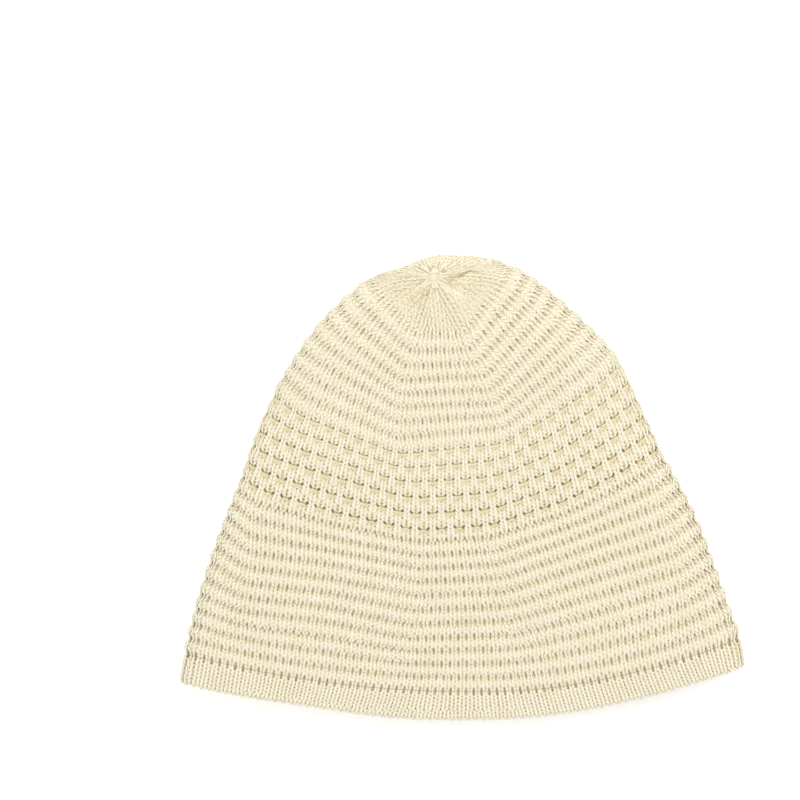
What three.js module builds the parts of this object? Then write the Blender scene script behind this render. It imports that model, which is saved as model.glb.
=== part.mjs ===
// A ridged knit hat lying flat on its back face, in millimetres.
// +Z is up, +Y runs from the hem to the crown, and the crown point lies on the front face.
import * as THREE from 'three';

// Driving sizes of the knit
const WALL = 2.6;             // thickness of the plain knit
const RIDGE = 1.5;            // height of a rolled ridge over its valleys
const LACE_RELIEF = 0.8;      // height of the open band's tucked rows
const PUCKER = 0.9;           // depth of the gathers round the crown point
const HEM_WALL = 4.0;         // the hem is a doubled tube of finer knit
const HEM_ROUND = 1.4;        // rounding of the hem's folded edge
const JOIN_GAP = 0.3;         // the hem is its own solid, this far from the body

// Rolled edges: radius of the wall's middle where the hat folds over at its sides and top
const SIDE_ROLL = 4.0;
const TOP_ROLL = 7.0;
const TOP_ROLL_START = 150;   // height on the hat where the roll begins to widen
const TOP_ROLL_END = 228;

// Extra height of the front face over its folded edges, by height on the hat
const PUFF = [
  { y: -20, rise: 3.2 },
  { y: 12, rise: 4.0 },
  { y: 62, rise: 8.5 },
  { y: 130, rise: 12.0 },
  { y: 186, rise: 12.0 },
  { y: 226, rise: 7.5 },
  { y: 262, rise: 5.0 },
];
const PUFF_REACH = 50;        // distance in from the edge where the rise is complete

// Knitted rows of valleys, by their distance down the front from the crown point
const BANDS = [
  { name: 'crown', first: 26.6, pitch: 7.67, rows: 8, steps: 4, relief: RIDGE },
  { name: 'lace', first: 89.4, pitch: 8.26, rows: 6, steps: 2, relief: LACE_RELIEF },
  { name: 'lower', first: 137.5, pitch: 7.38, rows: 12, steps: 4, relief: RIDGE },
];
const CROWN_ROW = 26.6;       // distance from the crown point to the first valley
const JOIN_ROW = 218.7;       // distance to the row where the hem joins
const HEM_ROW = 233.3;        // distance to the hem's lower edge

const CROWN = [-14.4, 233.5]; // the crown point on the front face

// Rows of the front face: left and right edges, and the corners of its gores.
// bowL and bowR round the side gores, soft is the rounding of the corners.
const ROWS = [
  { run: 26.6, left: [-50.0, 235.1], outL: [-46.3, 227.2], inL: [-25.2, 203.8],
    inR: [1.6, 204.4], outR: [21.3, 232.5], right: [26.1, 241.8], bowL: 0, bowR: 0, soft: 9 },
  { run: 34.6, left: [-59.6, 228.0], outL: [-53.9, 219.5], inL: [-27.8, 195.4],
    inR: [4.2, 196.0], outR: [29.8, 227.4], right: [34.6, 237.3], bowL: 0, bowR: 0, soft: 5 },
  { run: 50.0, left: [-74.5, 213.9], outL: [-66.0, 204.0], inL: [-32.2, 179.8],
    inR: [11.8, 182.2], outR: [43.6, 215.0], right: [49.5, 226.1], bowL: 0, bowR: 0, soft: 4 },
  { run: 64.9, left: [-87.0, 197.1], outL: [-75.5, 189.1], inL: [-34.0, 166.2],
    inR: [17.2, 168.2], outR: [55.6, 201.9], right: [65.4, 212.0], bowL: 0, bowR: 0.5, soft: 4 },
  { run: 80.3, left: [-95.2, 182.7], outL: [-83.0, 171.3], inL: [-35.1, 150.0],
    inR: [21.3, 155.3], outR: [65.8, 186.2], right: [78.2, 199.2], bowL: 0, bowR: 0, soft: 5 },
  { run: 106.4, left: [-109.1, 153.7], outL: [-95.9, 146.6], inL: [-29.5, 125.6],
    inR: [18.4, 129.0], outR: [81.1, 160.6], right: [93.6, 169.7], bowL: 0, bowR: 2.8, soft: 10 },
  { run: 137.5, left: [-119.8, 123.4], outL: [-111.4, 115.8], inL: [-22.9, 94.6],
    inR: [14.9, 97.0], outR: [99.5, 131.8], right: [108.0, 138.3], bowL: 1.6, bowR: 3.6, soft: 6 },
  { run: 158.3, left: [-127.9, 102.6], outL: [-113.3, 90.6], inL: [-23.4, 75.0],
    inR: [19.7, 77.0], outR: [107.5, 106.9], right: [119.9, 116.4], bowL: -1.2, bowR: 0, soft: 6 },
  { run: 188.6, left: [-139.8, 67.4], outL: [-117.6, 58.4], inL: [-27.7, 44.0],
    inR: [27.7, 46.0], outR: [116.8, 71.2], right: [134.3, 82.8], bowL: -1.8, bowR: 0.6, soft: 10 },
  { run: 218.7, left: [-147.1, 35.6], outL: [-120.2, 28.7], inL: [-30.9, 16.0],
    inR: [30.9, 15.2], outR: [121.3, 33.5], right: [147.3, 44.1], bowL: 1.6, bowR: 2.5, soft: 26 },
  { run: 233.3, left: [-150.0, 20.2], outL: [-122.9, 13.3], inL: [-35.6, 0.6],
    inR: [34.6, 0.8], outR: [126.6, 20.5], right: [150.0, 28.7], bowL: -0.9, bowR: 2.5, soft: 26 },
];

// The hat's top edge between the first row's two ends
const TOP_EDGE = [
  [-42.6, 238.3], [-31.9, 241.0], [-22.5, 244.7], [-15.4, 246.8],
  [-3.7, 247.0], [10.9, 246.1], [19.7, 244.7],
];

// The back face lies straighter: its rows' middles, and the gathers hidden under the top edge
const BACK_FIRST = 237.3;     // height of the first row's middle on the back
const BACK_STRETCH = 1.102;   // spacing of the back rows against the front ones
const GATHER_ROW = 21.0;      // the gathers under the top edge begin to settle at this row
const SETTLED_ROW = 36.0;     // and by this row the back lies in straight rows
const GATHER_TURN = 0.6;      // how far the gathers turn down the hat behind the fold

// Shallow dents of the front face
const DENTS = [
  { x: -26, y: 222, angle: -55, long: 9, wide: 3.5, depth: 1.2 },
  { x: 2, y: 237, angle: 14, long: 9, wide: 2.6, depth: 1.3 },
  { x: -44, y: 200, angle: -38, long: 26, wide: 9, depth: 0.9 },
  { x: 58, y: 168, angle: 34, long: 30, wide: 11, depth: 0.9 },
  { x: -70, y: 98, angle: -8, long: 38, wide: 13, depth: 1.1 },
  { x: 62, y: 78, angle: 16, long: 42, wide: 14, depth: 1.1 },
  { x: 4, y: 44, angle: 2, long: 48, wide: 12, depth: 0.8 },
];

// Columns of the mesh: how many steps each stretch of a ring takes
const EDGE_STEP = 3.2;        // spacing of the first two columns on each side of a fold
const OUTER_STEPS = 3;
const SIDE_STEPS = 7;
const MIDDLE_STEPS = 6;
const BACK_STEPS = 14;
const STAR_RINGS = 7;
const INNER_RINGS = 19;

const KNIT = { color: 0xefe6cb, roughness: 0.95, metalness: 0 };
const HEM_KNIT = { color: 0xebe1c4, roughness: 0.93, metalness: 0 };

const lerp = (a, b, f) => a + (b - a) * f;
const mix = (p, q, f) => [lerp(p[0], q[0], f), lerp(p[1], q[1], f)];
const clamp = (value, low, high) => Math.min(Math.max(value, low), high);
const smooth = (value, low, high) => {
  const f = clamp((value - low) / (high - low), 0, 1);
  return f * f * (3 - 2 * f);
};

// A smooth curve through points of any dimension at rising knots
function curveThrough(knots, points) {
  const last = knots.length - 1;
  const secant = (i, d) => (points[i + 1][d] - points[i][d]) / (knots[i + 1] - knots[i]);
  const tangent = (i, d) => {
    if (i === 0) return secant(0, d);
    if (i === last) return secant(last - 1, d);
    const before = knots[i] - knots[i - 1];
    const after = knots[i + 1] - knots[i];
    return (secant(i, d) * before + secant(i - 1, d) * after) / (before + after);
  };
  return (at) => {
    const t = clamp(at, knots[0], knots[last]);
    let i = 0;
    while (i < last - 1 && t > knots[i + 1]) i += 1;
    const h = knots[i + 1] - knots[i];
    const f = (t - knots[i]) / h;
    const f2 = f * f;
    const f3 = f2 * f;
    return points[i].map((start, d) => (2 * f3 - 3 * f2 + 1) * start
      + (f3 - 2 * f2 + f) * h * tangent(i, d)
      + (3 * f2 - 2 * f3) * points[i + 1][d]
      + (f3 - f2) * h * tangent(i + 1, d));
  };
}

const runs = ROWS.map((row) => row.run);
const runsFromCrown = [0, ...runs];
const cornerCurve = (name) => curveThrough(runsFromCrown, [CROWN, ...ROWS.map((row) => row[name])]);
const corner = {
  outL: cornerCurve('outL'),
  inL: cornerCurve('inL'),
  inR: cornerCurve('inR'),
  outR: cornerCurve('outR'),
};
const shape = curveThrough(runs, ROWS.map((row) => [row.bowL, row.bowR, row.soft]));
const puffAt = curveThrough(PUFF.map((p) => p.y), PUFF.map((p) => [p.rise]));
const rollAt = (y) => lerp(SIDE_ROLL, TOP_ROLL, smooth(y, TOP_ROLL_START, TOP_ROLL_END));

// The outline: up the left side, over the top edge and down the right side
const outlinePoints = [
  ...[...ROWS].reverse().map((row) => row.left),
  ...TOP_EDGE,
  ...ROWS.map((row) => row.right),
];
const outlineKnots = [0];
for (let i = 1; i < outlinePoints.length; i += 1) {
  const [a, b] = [outlinePoints[i - 1], outlinePoints[i]];
  outlineKnots.push(outlineKnots[i - 1] + Math.hypot(b[0] - a[0], b[1] - a[1]));
}
const outline = curveThrough(outlineKnots, outlinePoints);

// The fold line: the outline moved so that the rolled wall just reaches the outline
function foldPoint(knot) {
  const step = 0.5;
  const [a, b] = [outline(knot - step), outline(knot + step)];
  const length = Math.hypot(b[0] - a[0], b[1] - a[1]);
  const out = [-(b[1] - a[1]) / length, (b[0] - a[0]) / length];
  const p = outline(knot);
  const shift = (Math.PI / 2 - 1) * rollAt(p[1]) - (WALL / 2 + RIDGE);
  return [p[0] + out[0] * shift, p[1] + out[1] * shift];
}

const FOLD_SAMPLES = 220;
const foldLine = [];
const lastKnot = outlineKnots[outlineKnots.length - 1];
for (let i = 0; i <= FOLD_SAMPLES; i += 1) foldLine.push(foldPoint((lastKnot * i) / FOLD_SAMPLES));
const beyond = (p, q, length) => {
  const d = Math.hypot(q[0] - p[0], q[1] - p[1]);
  return [q[0] + ((q[0] - p[0]) * length) / d, q[1] + ((q[1] - p[1]) * length) / d];
};
foldLine.unshift(beyond(foldLine[3], foldLine[0], 30));
foldLine.push(beyond(foldLine[FOLD_SAMPLES - 2], foldLine[FOLD_SAMPLES + 1], 30));

// Foot of a point on the fold line, with the distance inside it
function footOnFold(p) {
  let best = { d2: Infinity };
  for (let i = 1; i < foldLine.length; i += 1) {
    const [a, b] = [foldLine[i - 1], foldLine[i]];
    const [ex, ey] = [b[0] - a[0], b[1] - a[1]];
    const f = clamp(((p[0] - a[0]) * ex + (p[1] - a[1]) * ey) / (ex * ex + ey * ey), 0, 1);
    const foot = [a[0] + ex * f, a[1] + ey * f];
    const d2 = (p[0] - foot[0]) ** 2 + (p[1] - foot[1]) ** 2;
    if (d2 < best.d2) {
      const edge = Math.hypot(ex, ey);
      best = { d2, foot, inward: [ey / edge, -ex / edge] };
    }
  }
  const { foot, inward } = best;
  const side = (p[0] - foot[0]) * inward[0] + (p[1] - foot[1]) * inward[1];
  const distance = Math.sqrt(best.d2);
  const along = distance > 1e-3
    ? [(p[0] - foot[0]) / distance, (p[1] - foot[1]) / distance]
    : inward;
  const inside = side >= 0 || distance <= 1e-3;
  return { foot, distance, inside, inward: inside ? along : [-along[0], -along[1]] };
}

function dentAt(x, y) {
  let depth = 0;
  for (const dent of DENTS) {
    const turn = THREE.MathUtils.degToRad(dent.angle);
    const [dx, dy] = [x - dent.x, y - dent.y];
    const u = (dx * Math.cos(turn) + dy * Math.sin(turn)) / dent.long;
    const v = (dy * Math.cos(turn) - dx * Math.sin(turn)) / dent.wide;
    depth += dent.depth * Math.exp(-(u * u + v * v));
  }
  return depth;
}

// Places a point of the flat pattern in space: the wall rolls over the fold line.
// face is 1 on the front, -1 on the back, and 0 where the outside of the line is the back.
function place(p, face) {
  const { foot, distance, inside, inward } = footOnFold(p);
  const up = face === 0 ? (inside ? 1 : -1) : face;
  const s = face !== 0 && !inside ? 0 : distance;
  const roll = rollAt(p[1]);
  const angle = Math.min(s / roll, Math.PI / 2);
  const rolled = (Math.PI / 2 - 1) * roll + roll * (1 - Math.cos(angle));
  const d = angle < Math.PI / 2 ? rolled : s;
  const turn = face === 0 && !inside ? GATHER_TURN * smooth(s, 0, 9) : 0;
  const [dirX, dirY] = mix(inward, [0, -1], turn);
  const unit = d / Math.hypot(dirX, dirY);
  const x = foot[0] + dirX * unit;
  const y = foot[1] + dirY * unit;
  let z = WALL / 2 + roll + up * roll * Math.sin(angle);
  if (up > 0) {
    const reach = clamp(s / PUFF_REACH, 0, 1);
    const rise = 1 - (1 - reach) ** 3;
    z += puffAt(y)[0] * rise - dentAt(x, y) * smooth(s, 0, 12);
  }
  return new THREE.Vector3(x, y, z);
}

// Ends of a row on the fold line; above the first row they close in on the crown point
function foldEnd(run, isLeft) {
  const first = ROWS.length - 1;
  if (run < CROWN_ROW) return mix(CROWN, foldEnd(CROWN_ROW, isLeft), run / CROWN_ROW);
  let i = 0;
  while (i < ROWS.length - 2 && run > runs[i + 1]) i += 1;
  const f = (run - runs[i]) / (runs[i + 1] - runs[i]);
  const rightStart = ROWS.length + TOP_EDGE.length;
  const [a, b] = isLeft ? [first - i, first - i - 1] : [rightStart + i, rightStart + i + 1];
  return foldPoint(lerp(outlineKnots[a], outlineKnots[b], f));
}

const bowed = (p, q, bow) => {
  const d = Math.hypot(q[0] - p[0], q[1] - p[1]);
  const m = mix(p, q, 0.5);
  return [m[0] + ((q[1] - p[1]) / d) * bow, m[1] - ((q[0] - p[0]) / d) * bow];
};
const mirrored = (p, through) => [2 * through[0] - p[0], 2 * through[1] - p[1]];

// Hidden gathers under the top edge, as the first row's corners laid out beyond the fold
const UNDER_LEFT = [-24.2, 254.3];
const UNDER_RIGHT = [0.3, 260.3];

// One row as three polylines of the flat pattern: front, settled back and unfolded back
function rowLines(run) {
  const [bowL, bowR] = shape(run);
  const [outL, inL, inR, outR] = ['outL', 'inL', 'inR', 'outR'].map((name) => corner[name](run));
  const [left, right] = [foldEnd(run, true), foldEnd(run, false)];
  const grow = run / CROWN_ROW;
  const backY = BACK_FIRST - (run - CROWN_ROW) * BACK_STRETCH;
  return {
    front: [left, outL, bowed(outL, inL, bowL), inL, inR, bowed(inR, outR, bowR), outR, right],
    back: [right, outR, [inR[0], backY], [inL[0], backY], outL, left],
    unfolded: [right, mirrored(outR, right), mix(CROWN, UNDER_RIGHT, grow),
      mix(CROWN, UNDER_LEFT, grow), mirrored(outL, left), left],
  };
}

function measure(line) {
  const at = [0];
  for (let i = 1; i < line.length; i += 1) {
    at.push(at[i - 1] + Math.hypot(line[i][0] - line[i - 1][0], line[i][1] - line[i - 1][1]));
  }
  return at;
}

function pointOn(line, at, s) {
  let i = 0;
  while (i < line.length - 2 && s > at[i + 1]) i += 1;
  const span = Math.max(at[i + 1] - at[i], 1e-9);
  return mix(line[i], line[i + 1], (s - at[i]) / span);
}

// A point of a line with its corners rounded over soft millimetres each way
function softPoint(line, at, s, soft) {
  const total = at[at.length - 1];
  const reach = Math.min(soft, s, total - s);
  const taps = [-0.9, -0.6, -0.3, 0, 0.3, 0.6, 0.9];
  const sum = [0, 0];
  for (const tap of taps) {
    const p = pointOn(line, at, s + tap * reach);
    sum[0] += p[0] / taps.length;
    sum[1] += p[1] / taps.length;
  }
  return sum;
}

const softAt = (run) => (run < CROWN_ROW ? shape(CROWN_ROW)[2] * (run / CROWN_ROW) : shape(run)[2]);

// Distances along a line where the mesh has its columns
function frontStops(at) {
  const total = at[at.length - 1];
  const edge = Math.min(EDGE_STEP, total * 0.02, at[1] * 0.3);
  const far = Math.min(EDGE_STEP, total * 0.02, (total - at[6]) * 0.3);
  const between = (a, b, n) => Array.from({ length: n }, (_, i) => lerp(a, b, i / n));
  return [
    0, edge, 2 * edge,
    ...between(at[1], at[3], SIDE_STEPS),
    ...between(at[3], at[4], MIDDLE_STEPS),
    ...between(at[4], at[6], SIDE_STEPS),
    at[6], total - 2 * far, total - far,
  ];
}

function backStops(total) {
  const edge = Math.min(EDGE_STEP, total * 0.02);
  const start = 2 * edge;
  const inside = Array.from(
    { length: BACK_STEPS },
    (_, i) => lerp(start, total - start, i / BACK_STEPS),
  );
  return [0, edge, ...inside, total - start, total - edge];
}

// The wall's middle surface along one row, as a ring of points with their face
function middleRing(run, offset) {
  const lines = rowLines(run);
  const soft = softAt(run);
  const ring = [];
  const frontAt = measure(lines.front);
  const front = frontStops(frontAt);
  for (let i = 0; i < front.length; i += 1) {
    const next = i + 1 < front.length ? front[i + 1] : frontAt[frontAt.length - 1];
    const p = softPoint(lines.front, frontAt, lerp(front[i], next, offset), soft);
    ring.push(place(p, run < CROWN_ROW ? 0 : 1));
  }
  const settled = smooth(run, GATHER_ROW, SETTLED_ROW);
  const backAt = measure(lines.back);
  const openAt = measure(lines.unfolded);
  const [backTotal, openTotal] = [backAt[backAt.length - 1], openAt[openAt.length - 1]];
  const [back, open] = [backStops(backTotal), backStops(openTotal)];
  for (let i = 0; i < back.length; i += 1) {
    const sBack = lerp(back[i], i + 1 < back.length ? back[i + 1] : backTotal, offset);
    const sOpen = lerp(open[i], i + 1 < open.length ? open[i + 1] : openTotal, offset);
    const unfolded = place(softPoint(lines.unfolded, openAt, sOpen, soft), 0);
    const flat = settled > 0 ? place(softPoint(lines.back, backAt, sBack, soft), -1) : unfolded;
    ring.push(unfolded.lerp(flat, settled));
  }
  return ring;
}

// The middle surface with its outward normals
function ringWithNormals(run) {
  const points = middleRing(run, 0);
  const ahead = middleRing(run, 0.02);
  const above = middleRing(Math.max(run - 0.4, 0.05), 0);
  const below = middleRing(Math.min(run + 0.4, HEM_ROW), 0);
  return points.map((point, i) => {
    const along = ahead[i].clone().sub(point);
    const down = below[i].clone().sub(above[i]);
    return { point, normal: down.cross(along).normalize() };
  });
}

// Eight gathers spread from the crown point
function puckerAt(run, point) {
  const turn = Math.atan2(point.y - CROWN[1], point.x - CROWN[0]);
  const spread = smooth(run, 2, 9) * (1 - smooth(run, 15, 30));
  return PUCKER * spread * Math.cos(8 * turn);
}

function offsetRing(run, thickness, relief) {
  return ringWithNormals(run).map(({ point, normal }) => {
    const p = point.clone().addScaledVector(normal, thickness + relief + puckerAt(run, point));
    p.z = Math.max(p.z, 0);
    return p;
  });
}

// Every row of the outside: valleys and the ridges between them
function outsideRows() {
  const rows = [];
  for (let i = 1; i < STAR_RINGS; i += 1) {
    rows.push({ run: (CROWN_ROW * i) / STAR_RINGS, relief: 0 });
  }
  BANDS.forEach((band, b) => {
    const next = BANDS[b + 1];
    for (let k = 0; k < band.rows; k += 1) {
      const start = band.first + band.pitch * k;
      const isLast = k === band.rows - 1;
      const end = isLast ? (next ? next.first : JOIN_ROW) : start + band.pitch;
      rows.push({ run: Math.min(start, JOIN_ROW), relief: 0 });
      if (isLast && !next) return;
      for (let step = 1; step < band.steps; step += 1) {
        const f = step / band.steps;
        rows.push({ run: lerp(start, end, f), relief: band.relief * Math.sin(Math.PI * f) ** 0.7 });
      }
    }
  });
  return rows;
}

// A closed solid from a first point, rings of equal count and a last point
function closedBody(first, rings, last) {
  const count = rings[0].length;
  const points = [first, ...rings.flat(), last];
  const index = [];
  const at = (ring, i) => 1 + ring * count + (i % count);
  for (let i = 0; i < count; i += 1) index.push(0, at(0, i), at(0, i + 1));
  for (let ring = 1; ring < rings.length; ring += 1) {
    for (let i = 0; i < count; i += 1) {
      index.push(at(ring - 1, i), at(ring, i), at(ring, i + 1));
      index.push(at(ring - 1, i), at(ring, i + 1), at(ring - 1, i + 1));
    }
  }
  const end = points.length - 1;
  for (let i = 0; i < count; i += 1) index.push(end, at(rings.length - 1, i + 1), at(rings.length - 1, i));
  return geometryOf(points, index);
}

// A closed tube from rings whose last one meets the first
function closedTube(rings) {
  const count = rings[0].length;
  const index = [];
  const at = (ring, i) => (ring % rings.length) * count + (i % count);
  for (let ring = 0; ring < rings.length; ring += 1) {
    for (let i = 0; i < count; i += 1) {
      index.push(at(ring, i), at(ring + 1, i), at(ring + 1, i + 1));
      index.push(at(ring, i), at(ring + 1, i + 1), at(ring, i + 1));
    }
  }
  return geometryOf(rings.flat(), index);
}

function geometryOf(points, index) {
  const geometry = new THREE.BufferGeometry();
  geometry.setAttribute('position', new THREE.Float32BufferAttribute(points.flatMap((p) => [p.x, p.y, p.z]), 3));
  geometry.setIndex(index);
  geometry.computeVertexNormals();
  return geometry;
}

function namedMesh(name, geometry, look) {
  const mesh = new THREE.Mesh(geometry, new THREE.MeshStandardMaterial(look));
  mesh.name = name;
  return mesh;
}

// The body: crown, ridges and open band as one hollow knit, open at the joining row
function buildBody() {
  const outside = outsideRows().map(({ run, relief }) => offsetRing(run, WALL / 2, relief));
  const inside = [];
  for (let i = 0; i <= INNER_RINGS; i += 1) {
    const run = lerp(JOIN_ROW, 6, i / INNER_RINGS);
    inside.push(offsetRing(run, -WALL / 2, 0));
  }
  const crown = place(CROWN, 1);
  const tip = crown.clone().setZ(crown.z + WALL / 2);
  const innerTip = crown.clone().setZ(crown.z - WALL / 2);
  return closedBody(tip, [...outside, ...inside], innerTip);
}

// The hem: a doubled band with a rounded lower edge
function buildHem() {
  const half = HEM_WALL / 2;
  const top = JOIN_ROW + JOIN_GAP;
  const edge = HEM_ROW - HEM_ROUND;
  const profile = [
    { run: top, out: WALL / 2 },
    { run: top + 1.6, out: half },
    { run: (top + edge) / 2, out: half },
    { run: edge, out: half },
    { run: HEM_ROW - HEM_ROUND * 0.3, out: half * 0.7 },
    { run: HEM_ROW, out: 0 },
    { run: HEM_ROW - HEM_ROUND * 0.3, out: -half * 0.7 },
    { run: edge, out: -half },
    { run: (top + edge) / 2, out: -half },
    { run: top, out: -WALL / 2 },
  ];
  return closedTube(profile.map(({ run, out }) => offsetRing(run, out, 0)));
}

const hat = new THREE.Group();
hat.add(namedMesh('knit_body', buildBody(), KNIT));
hat.add(namedMesh('hem_band', buildHem(), HEM_KNIT));

// The origin is the middle of the hat's footprint, on the surface that it lies on
const box = new THREE.Box3().setFromObject(hat);
const centre = box.getCenter(new THREE.Vector3());
hat.position.set(-centre.x, -centre.y, -box.min.z);

export default hat;
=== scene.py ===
# A ridged knit hat lying flat on its back face, with every stitch as a pair of yarn legs.
# Lengths are in millimetres until the meshes are made, and then in metres.
import math
from types import SimpleNamespace as Record

import bpy
import numpy as np
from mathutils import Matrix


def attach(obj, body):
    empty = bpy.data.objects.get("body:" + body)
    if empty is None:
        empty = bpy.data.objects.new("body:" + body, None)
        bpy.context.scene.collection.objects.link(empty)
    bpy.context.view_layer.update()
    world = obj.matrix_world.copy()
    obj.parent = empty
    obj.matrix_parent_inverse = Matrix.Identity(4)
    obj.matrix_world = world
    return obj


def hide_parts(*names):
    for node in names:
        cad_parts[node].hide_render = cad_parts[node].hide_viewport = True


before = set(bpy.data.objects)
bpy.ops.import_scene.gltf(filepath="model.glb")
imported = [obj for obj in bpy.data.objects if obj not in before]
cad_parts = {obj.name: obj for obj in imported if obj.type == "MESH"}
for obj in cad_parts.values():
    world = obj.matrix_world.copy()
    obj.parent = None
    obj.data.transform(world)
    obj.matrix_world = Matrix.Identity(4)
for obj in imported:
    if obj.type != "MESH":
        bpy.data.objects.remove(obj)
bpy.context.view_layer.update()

MM = 0.001
SEED = 7
# Where the knit pattern's own origin lies in the row frame
PATTERN_SHIFT = np.array([-0.0205, -123.4823, 0.0])

# Driving sizes, the same as the solids'
WALL = 2.6  # thickness of the plain knit
RIDGE = 1.5  # height of a rolled ridge over its valleys
LACE_RELIEF = 0.8  # height of the open band's tucked rows
PUCKER = 0.9  # depth of the gathers round the crown point
GATHERS = 8
HEM_WALL = 4.0  # the hem is a doubled tube of finer knit
HEM_ROUND = 1.4  # rounding of the hem's folded edge
JOIN_GAP = 0.3  # the hem is its own piece, this far from the body
SIDE_ROLL = 4.0  # radius of the fold at the sides
TOP_ROLL = 7.0  # and at the top
TOP_ROLL_START = 150.0
TOP_ROLL_END = 228.0
PUFF_REACH = 50.0  # distance in from the edge where the front's rise is complete
CROWN_ROW = 26.6  # distance from the crown point to the first valley
JOIN_ROW = 218.7  # distance to the row where the hem joins
HEM_ROW = 233.3  # distance to the hem's lower edge
BACK_FIRST = 237.3  # height of the first row's middle on the back
BACK_STRETCH = 1.102  # spacing of the back rows against the front ones
GATHER_ROW = 21.0  # the gathers under the top edge begin to settle at this row
SETTLED_ROW = 36.0  # and by this row the back lies in straight rows
GATHER_TURN = 0.6  # how far the gathers turn down the hat behind the fold
GATHER_REACH = 9.0  # distance over which they turn
DENT_FADE = 12.0  # dents fade out this near to the fold

# The crown point and the ridges' curve, which differ a little from the solids'
CROWN = np.array([-15.2, 235.3])
RIDGE_CURVE = 1.2  # 1 for a plain wave; more makes the valleys wider

# Knitted rows of valleys: distance of the first one, spacing and count
CROWN_FIRST, CROWN_PITCH, CROWN_ROWS = CROWN_ROW, 7.67, 8
LACE_FIRST, LACE_PITCH, LACE_ROWS = 89.4, 8.26, 6
LOWER_FIRST, LOWER_PITCH, LOWER_ROWS = 137.5, 7.38, 12

# Extra height of the front face over its folded edges: y, rise
PUFF = np.array([
    [-20, 3.2], [12, 4.0], [62, 8.5], [130, 12.0], [186, 12.0], [226, 7.5], [262, 5.0],
])

# Rows of the front face: run, left, outL, inL, inR, outR, right (x and y each), bowL, bowR, soft
ROWS = np.array([
    [26.6, -50.0, 235.1, -46.3, 227.2, -25.2, 203.8, 1.6, 204.4, 21.3, 232.5, 26.1, 241.8, 0, 0, 9],
    [34.6, -59.6, 228.0, -53.9, 219.5, -27.8, 195.4, 4.2, 196.0, 29.8, 227.4, 34.6, 237.3, 0, 0, 5],
    [50.0, -74.5, 213.9, -66.0, 204.0, -32.2, 179.8, 11.8, 182.2, 43.6, 215.0, 49.5, 226.1, 0, 0, 4],
    [64.9, -87.0, 197.1, -75.5, 189.1, -34.0, 166.2, 17.2, 168.2, 55.6, 201.9, 65.4, 212.0, 0, 0.5, 4],
    [80.3, -95.2, 182.7, -83.0, 171.3, -35.1, 150.0, 21.3, 155.3, 65.8, 186.2, 78.2, 199.2, 0, 0, 5],
    [106.4, -109.1, 153.7, -95.9, 146.6, -29.5, 125.6, 18.4, 129.0, 81.1, 160.6, 93.6, 169.7, 0, 2.8, 10],
    [137.5, -119.8, 123.4, -111.4, 115.8, -22.9, 94.6, 14.9, 97.0, 99.5, 131.8, 108.0, 138.3, 1.6, 3.6, 6],
    [158.3, -127.9, 102.6, -113.3, 90.6, -23.4, 75.0, 19.7, 77.0, 107.5, 106.9, 119.9, 116.4, -1.2, 0, 6],
    [188.6, -139.8, 67.4, -117.6, 58.4, -27.7, 44.0, 27.7, 46.0, 116.8, 71.2, 134.3, 82.8, -1.8, 0.6, 10],
    [218.7, -147.1, 35.6, -120.2, 28.7, -30.9, 16.0, 30.9, 15.2, 121.3, 33.5, 147.3, 44.1, 1.6, 2.5, 26],
    [233.3, -150.0, 20.2, -122.9, 13.3, -35.6, 0.6, 34.6, 0.8, 126.6, 20.5, 150.0, 28.7, -0.9, 2.5, 26],
])
RUNS = ROWS[:, 0]
LEFT, OUT_L, IN_L, IN_R, OUT_R, RIGHT = (ROWS[:, 1 + 2 * i:3 + 2 * i] for i in range(6))
BOWS_SOFT = ROWS[:, 13:16]

TOP_EDGE = np.array([
    [-42.6, 238.3], [-31.9, 241.0], [-22.5, 244.7], [-15.4, 246.8],
    [-3.7, 247.0], [10.9, 246.1], [19.7, 244.7],
])
UNDER_LEFT = np.array([-24.2, 254.3])
UNDER_RIGHT = np.array([0.3, 260.3])

# Shallow dents of the front face: x, y, angle, long, wide, depth
DENTS = [
    (-26, 222, -55, 9, 3.5, 1.2),
    (2, 237, 14, 9, 2.6, 1.3),
    (-44, 200, -38, 26, 9, 0.9),
    (58, 168, 34, 30, 11, 0.9),
    (-70, 98, -8, 38, 13, 1.1),
    (62, 78, 16, 42, 14, 1.1),
    (4, 44, 2, 48, 12, 0.8),
]


def smooth(value, low, high):
    f = np.clip((value - low) / (high - low), 0, 1)
    return f * f * (3 - 2 * f)


def mix(a, b, f):
    return a + (b - a) * f


class Curve:
    """A smooth curve through points at rising knots."""

    def __init__(self, knots, points):
        self.knots = np.asarray(knots, float)
        self.points = np.asarray(points, float)
        secant = np.diff(self.points, axis=0) / np.diff(self.knots)[:, None]
        gap = np.diff(self.knots)
        inner = (secant[1:] * gap[:-1, None] + secant[:-1] * gap[1:, None]) / (gap[:-1] + gap[1:])[:, None]
        self.slopes = np.vstack([secant[:1], inner, secant[-1:]])

    def __call__(self, at):
        t = np.clip(np.asarray(at, float), self.knots[0], self.knots[-1])
        i = np.clip(np.searchsorted(self.knots, t) - 1, 0, len(self.knots) - 2)
        h = self.knots[i + 1] - self.knots[i]
        f = ((t - self.knots[i]) / h)[..., None]
        h = h[..., None]
        p, q, m, n = self.points[i], self.points[i + 1], self.slopes[i], self.slopes[i + 1]
        return ((2 * f**3 - 3 * f**2 + 1) * p + (f**3 - 2 * f**2 + f) * h * m
                + (3 * f**2 - 2 * f**3) * q + (f**3 - f**2) * h * n)


from_crown = np.concatenate([[0], RUNS])
corner_curves = [Curve(from_crown, np.vstack([CROWN, c])) for c in (OUT_L, IN_L, IN_R, OUT_R)]
row_shape = Curve(RUNS, BOWS_SOFT)
puff_curve = Curve(PUFF[:, 0], PUFF[:, 1:])


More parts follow.
